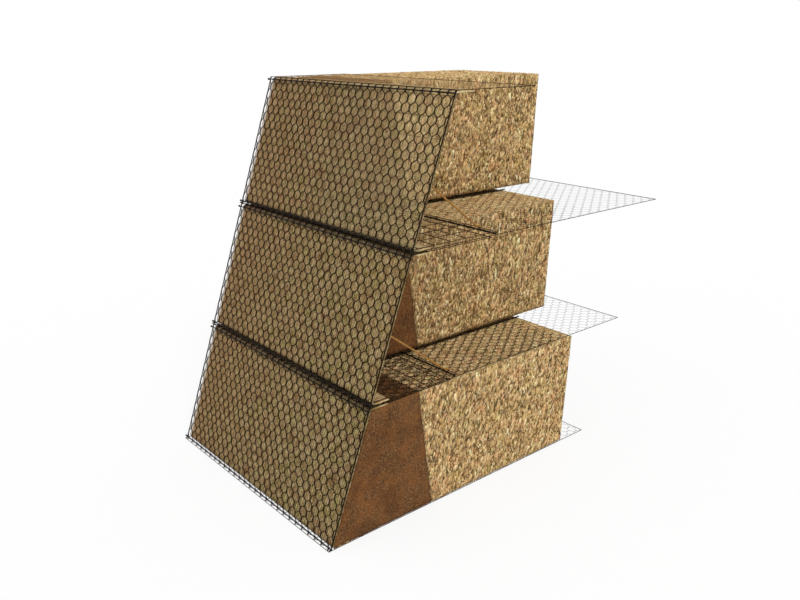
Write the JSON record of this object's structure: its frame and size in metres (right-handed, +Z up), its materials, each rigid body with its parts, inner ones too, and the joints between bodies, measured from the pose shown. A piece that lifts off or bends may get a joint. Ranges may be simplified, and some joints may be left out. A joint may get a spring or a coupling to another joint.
{
  "type": "mechanically stabilised earth wall",
  "caption": "Stepped-back soil wall of stacked wire-faced units: hexagonal net faces and tails, fold rods, erosion mat, topsoil wedge and stony backfill, shown cut open at one end.",
  "frame": {"origin": "centre of the overall footprint, on the ground under the lowest base net", "axes": "+X along the wall towards the cut end, +Y from the outer face back into the fill, +Z up"},
  "size_m": [1.62, 2.7004, 2.28],
  "materials": {
    "net_wire": "satin",
    "fold_rod": "satin",
    "erosion_mat": "matte",
    "welded_mesh": "matte",
    "bracket": "matte",
    "topsoil": "matte",
    "backfill": "matte"
  },
  "bodies": {
    "root": {"base_net_1": "net_wire", "face_net_1": "net_wire", "flap_net_1": "net_wire", "toe_rod_1": "fold_rod", "top_rod_1": "fold_rod", "erosion_mat_1": "erosion_mat", "face_mesh_1": "welded_mesh", "foot_mesh_1": "welded_mesh", "foot_bar_1": "fold_rod", "topsoil_1": "topsoil", "backfill_1": "backfill", "base_net_2": "net_wire", "face_net_2": "net_wire", "flap_net_2": "net_wire", "toe_rod_2": "fold_rod", "top_rod_2": "fold_rod", "erosion_mat_2": "erosion_mat", "face_mesh_2": "welded_mesh", "foot_mesh_2": "welded_mesh", "foot_bar_2": "fold_rod", "topsoil_2": "topsoil", "backfill_2": "backfill", "bracket_2": "bracket", "base_net_3": "net_wire", "face_net_3": "net_wire", "flap_net_3": "net_wire", "toe_rod_3": "fold_rod", "top_rod_3": "fold_rod", "erosion_mat_3": "erosion_mat", "face_mesh_3": "welded_mesh", "foot_mesh_3": "welded_mesh", "foot_bar_3": "fold_rod", "topsoil_3": "topsoil", "backfill_3": "backfill", "bracket_3": "bracket"}
  },
  "joints": []
}
